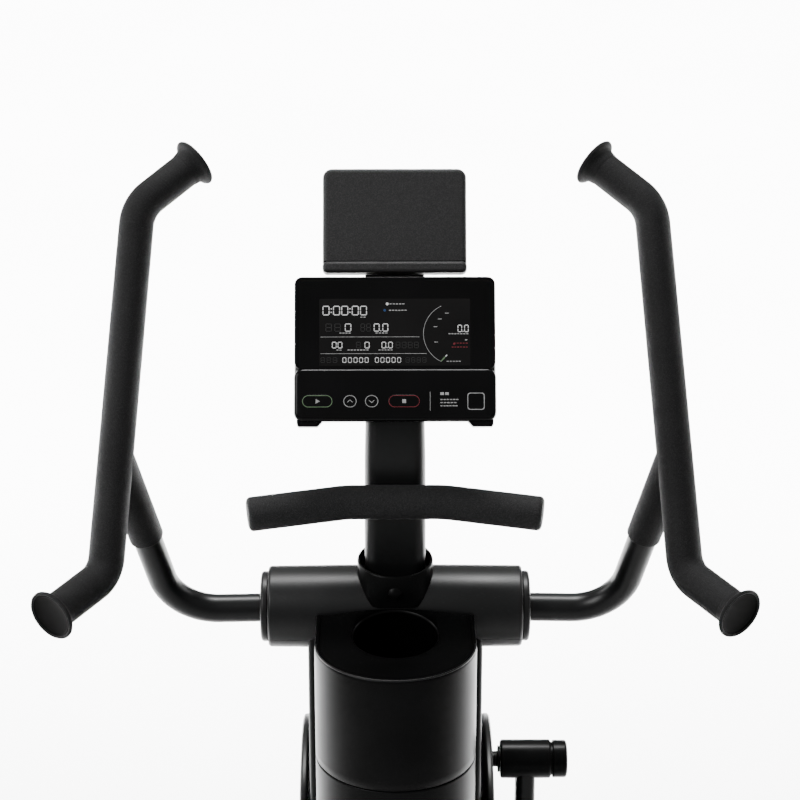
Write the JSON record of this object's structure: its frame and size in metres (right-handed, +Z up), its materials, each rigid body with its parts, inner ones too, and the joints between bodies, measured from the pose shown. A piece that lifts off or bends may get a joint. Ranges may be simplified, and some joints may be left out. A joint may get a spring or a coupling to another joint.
{
  "type": "elliptical trainer",
  "caption": "Upright elliptical trainer with swinging foam-gripped arms, a fixed handlebar, a cup holder, a console and crank-hung pedals.",
  "frame": {"origin": "on the floor under the middle of the machine's box", "axes": "+Z up, +Y away from the user, +X to the user's right"},
  "size_m": [0.7862, 0.98, 1.6472],
  "materials": {
    "frame_paint": "satin black powder coat",
    "foot_rubber": "matt moulded rubber",
    "satin_plastic": "satin fine-grained moulding",
    "grip_foam": "matt closed-cell foam",
    "gloss_plastic": "high gloss",
    "display_glass": "dark tinted window",
    "machined_steel": "turned steel"
  },
  "bodies": {
    "root": {"base_rail": "frame_paint", "front_stabilizer": "frame_paint", "rear_stabilizer": "frame_paint", "front_left_foot": "foot_rubber", "front_right_foot": "foot_rubber", "rear_left_foot": "foot_rubber", "rear_right_foot": "foot_rubber", "main_post": "frame_paint", "left_crank_bearing": "machined_steel", "right_crank_bearing": "machined_steel", "left_housing": "satin_plastic", "right_housing": "satin_plastic", "column_shell": "satin_plastic", "cup_tray": "satin_plastic", "hub_shell": "satin_plastic", "left_hub_ring": "satin_plastic", "right_hub_ring": "satin_plastic", "mast": "frame_paint", "mast_collar": "satin_plastic", "handlebar_tube": "frame_paint", "handlebar_foam": "grip_foam", "console_housing": "satin_plastic", "display_panel": "gloss_plastic", "display_window": "display_glass", "control_panel": "gloss_plastic", "media_shelf": "satin_plastic", "drive_belt": "foot_rubber", "flywheel_axle": "machined_steel"},
    "crank": {"crank_shaft": "machined_steel", "left_crank_disc": "satin_plastic", "right_crank_disc": "satin_plastic", "drive_pulley": "satin_plastic"},
    "left_leg": {"left_leg": "frame_paint", "left_leg_cap": "satin_plastic", "left_pedal": "satin_plastic", "left_pedal_mat": "foot_rubber"},
    "right_leg": {"right_leg": "frame_paint", "right_leg_cap": "satin_plastic", "right_pedal": "satin_plastic", "right_pedal_mat": "foot_rubber"},
    "left_link": {"left_link": "frame_paint"},
    "right_link": {"right_link": "frame_paint"},
    "left_arm": {"left_arm_tube": "frame_paint", "left_grip_foam": "grip_foam", "left_strut_foam": "grip_foam", "left_top_cap": "foot_rubber", "left_bottom_cap": "foot_rubber"},
    "right_arm": {"right_arm_tube": "frame_paint", "right_grip_foam": "grip_foam", "right_strut_foam": "grip_foam", "right_top_cap": "foot_rubber", "right_bottom_cap": "foot_rubber"},
    "flywheel": {"flywheel": "machined_steel"},
    "brake": {"brake_bracket": "machined_steel"},
    "left_wheel": {"left_transport_wheel": "foot_rubber"},
    "right_wheel": {"right_transport_wheel": "foot_rubber"},
    "start_key": {"start_key": "gloss_plastic"},
    "up_key": {"up_key": "gloss_plastic"},
    "down_key": {"down_key": "gloss_plastic"},
    "stop_key": {"stop_key": "gloss_plastic"}
  },
  "joints": [
    {"name": "left_arm_swing", "type": "hinge", "parent": "root", "child": "left_arm", "pos_m": [0, 0.12, 1.11], "axis": [1, 0, 0], "range_deg": [-15, 15]},
    {"name": "right_arm_swing", "type": "hinge", "parent": "root", "child": "right_arm", "pos_m": [0, 0.12, 1.11], "axis": [1, 0, 0], "range_deg": [-15, 15]},
    {"name": "crank_spin", "type": "hinge", "parent": "root", "child": "crank", "pos_m": [0, 0.197, 0.735], "axis": [1, 0, 0], "continuous": true},
    {"name": "left_leg_pivot", "type": "hinge", "parent": "crank", "child": "left_leg", "pos_m": [-0.16, 0.197, 0.605], "axis": [1, 0, 0], "continuous": true},
    {"name": "right_leg_pivot", "type": "hinge", "parent": "crank", "child": "right_leg", "pos_m": [0.16, 0.197, 0.865], "axis": [1, 0, 0], "continuous": true},
    {"name": "flywheel_spin", "type": "hinge", "parent": "root", "child": "flywheel", "pos_m": [0, 0.28, 0.42], "axis": [1, 0, 0], "continuous": true},
    {"name": "left_link_swing", "type": "hinge", "parent": "root", "child": "left_link", "pos_m": [-0.131, 0.46, 0.245], "axis": [1, 0, 0], "range_deg": [-52, 0]},
    {"name": "right_link_swing", "type": "hinge", "parent": "root", "child": "right_link", "pos_m": [0.131, 0.46, 0.245], "axis": [1, 0, 0], "range_deg": [0, 52]},
    {"name": "brake_swing", "type": "hinge", "parent": "root", "child": "brake", "pos_m": [-0.0105, 0.16941, 0.34257], "axis": [1, 0, 0], "range_deg": [-10, 0]},
    {"name": "left_wheel_spin", "type": "hinge", "parent": "root", "child": "left_wheel", "pos_m": [-0.213, 0.466, 0.03], "axis": [1, 0, 0], "continuous": true},
    {"name": "right_wheel_spin", "type": "hinge", "parent": "root", "child": "right_wheel", "pos_m": [0.213, 0.466, 0.03], "axis": [1, 0, 0], "continuous": true},
    {"name": "start_key_press", "type": "slide", "parent": "root", "child": "start_key", "axis": [0, 0.891, -0.454], "range_m": [0, 0.0006], "stiffness_N_per_m": 1500},
    {"name": "up_key_press", "type": "slide", "parent": "root", "child": "up_key", "axis": [0, 0.891, -0.454], "range_m": [0, 0.0006], "stiffness_N_per_m": 1500},
    {"name": "down_key_press", "type": "slide", "parent": "root", "child": "down_key", "axis": [0, 0.891, -0.454], "range_m": [0, 0.0006], "stiffness_N_per_m": 1500},
    {"name": "stop_key_press", "type": "slide", "parent": "root", "child": "stop_key", "axis": [0, 0.891, -0.454], "range_m": [0, 0.0006], "stiffness_N_per_m": 1500}
  ],
  "couplings": [
    {"joint": "right_arm_swing", "follows": "left_arm_swing", "ratio": -1},
    {"joint": "left_leg_pivot", "follows": "crank_spin", "ratio": -1},
    {"joint": "right_leg_pivot", "follows": "crank_spin", "ratio": -1},
    {"joint": "flywheel_spin", "follows": "crank_spin", "ratio": 5.2778},
    {"joint": "right_link_swing", "follows": "left_link_swing", "ratio": -1}
  ]
}
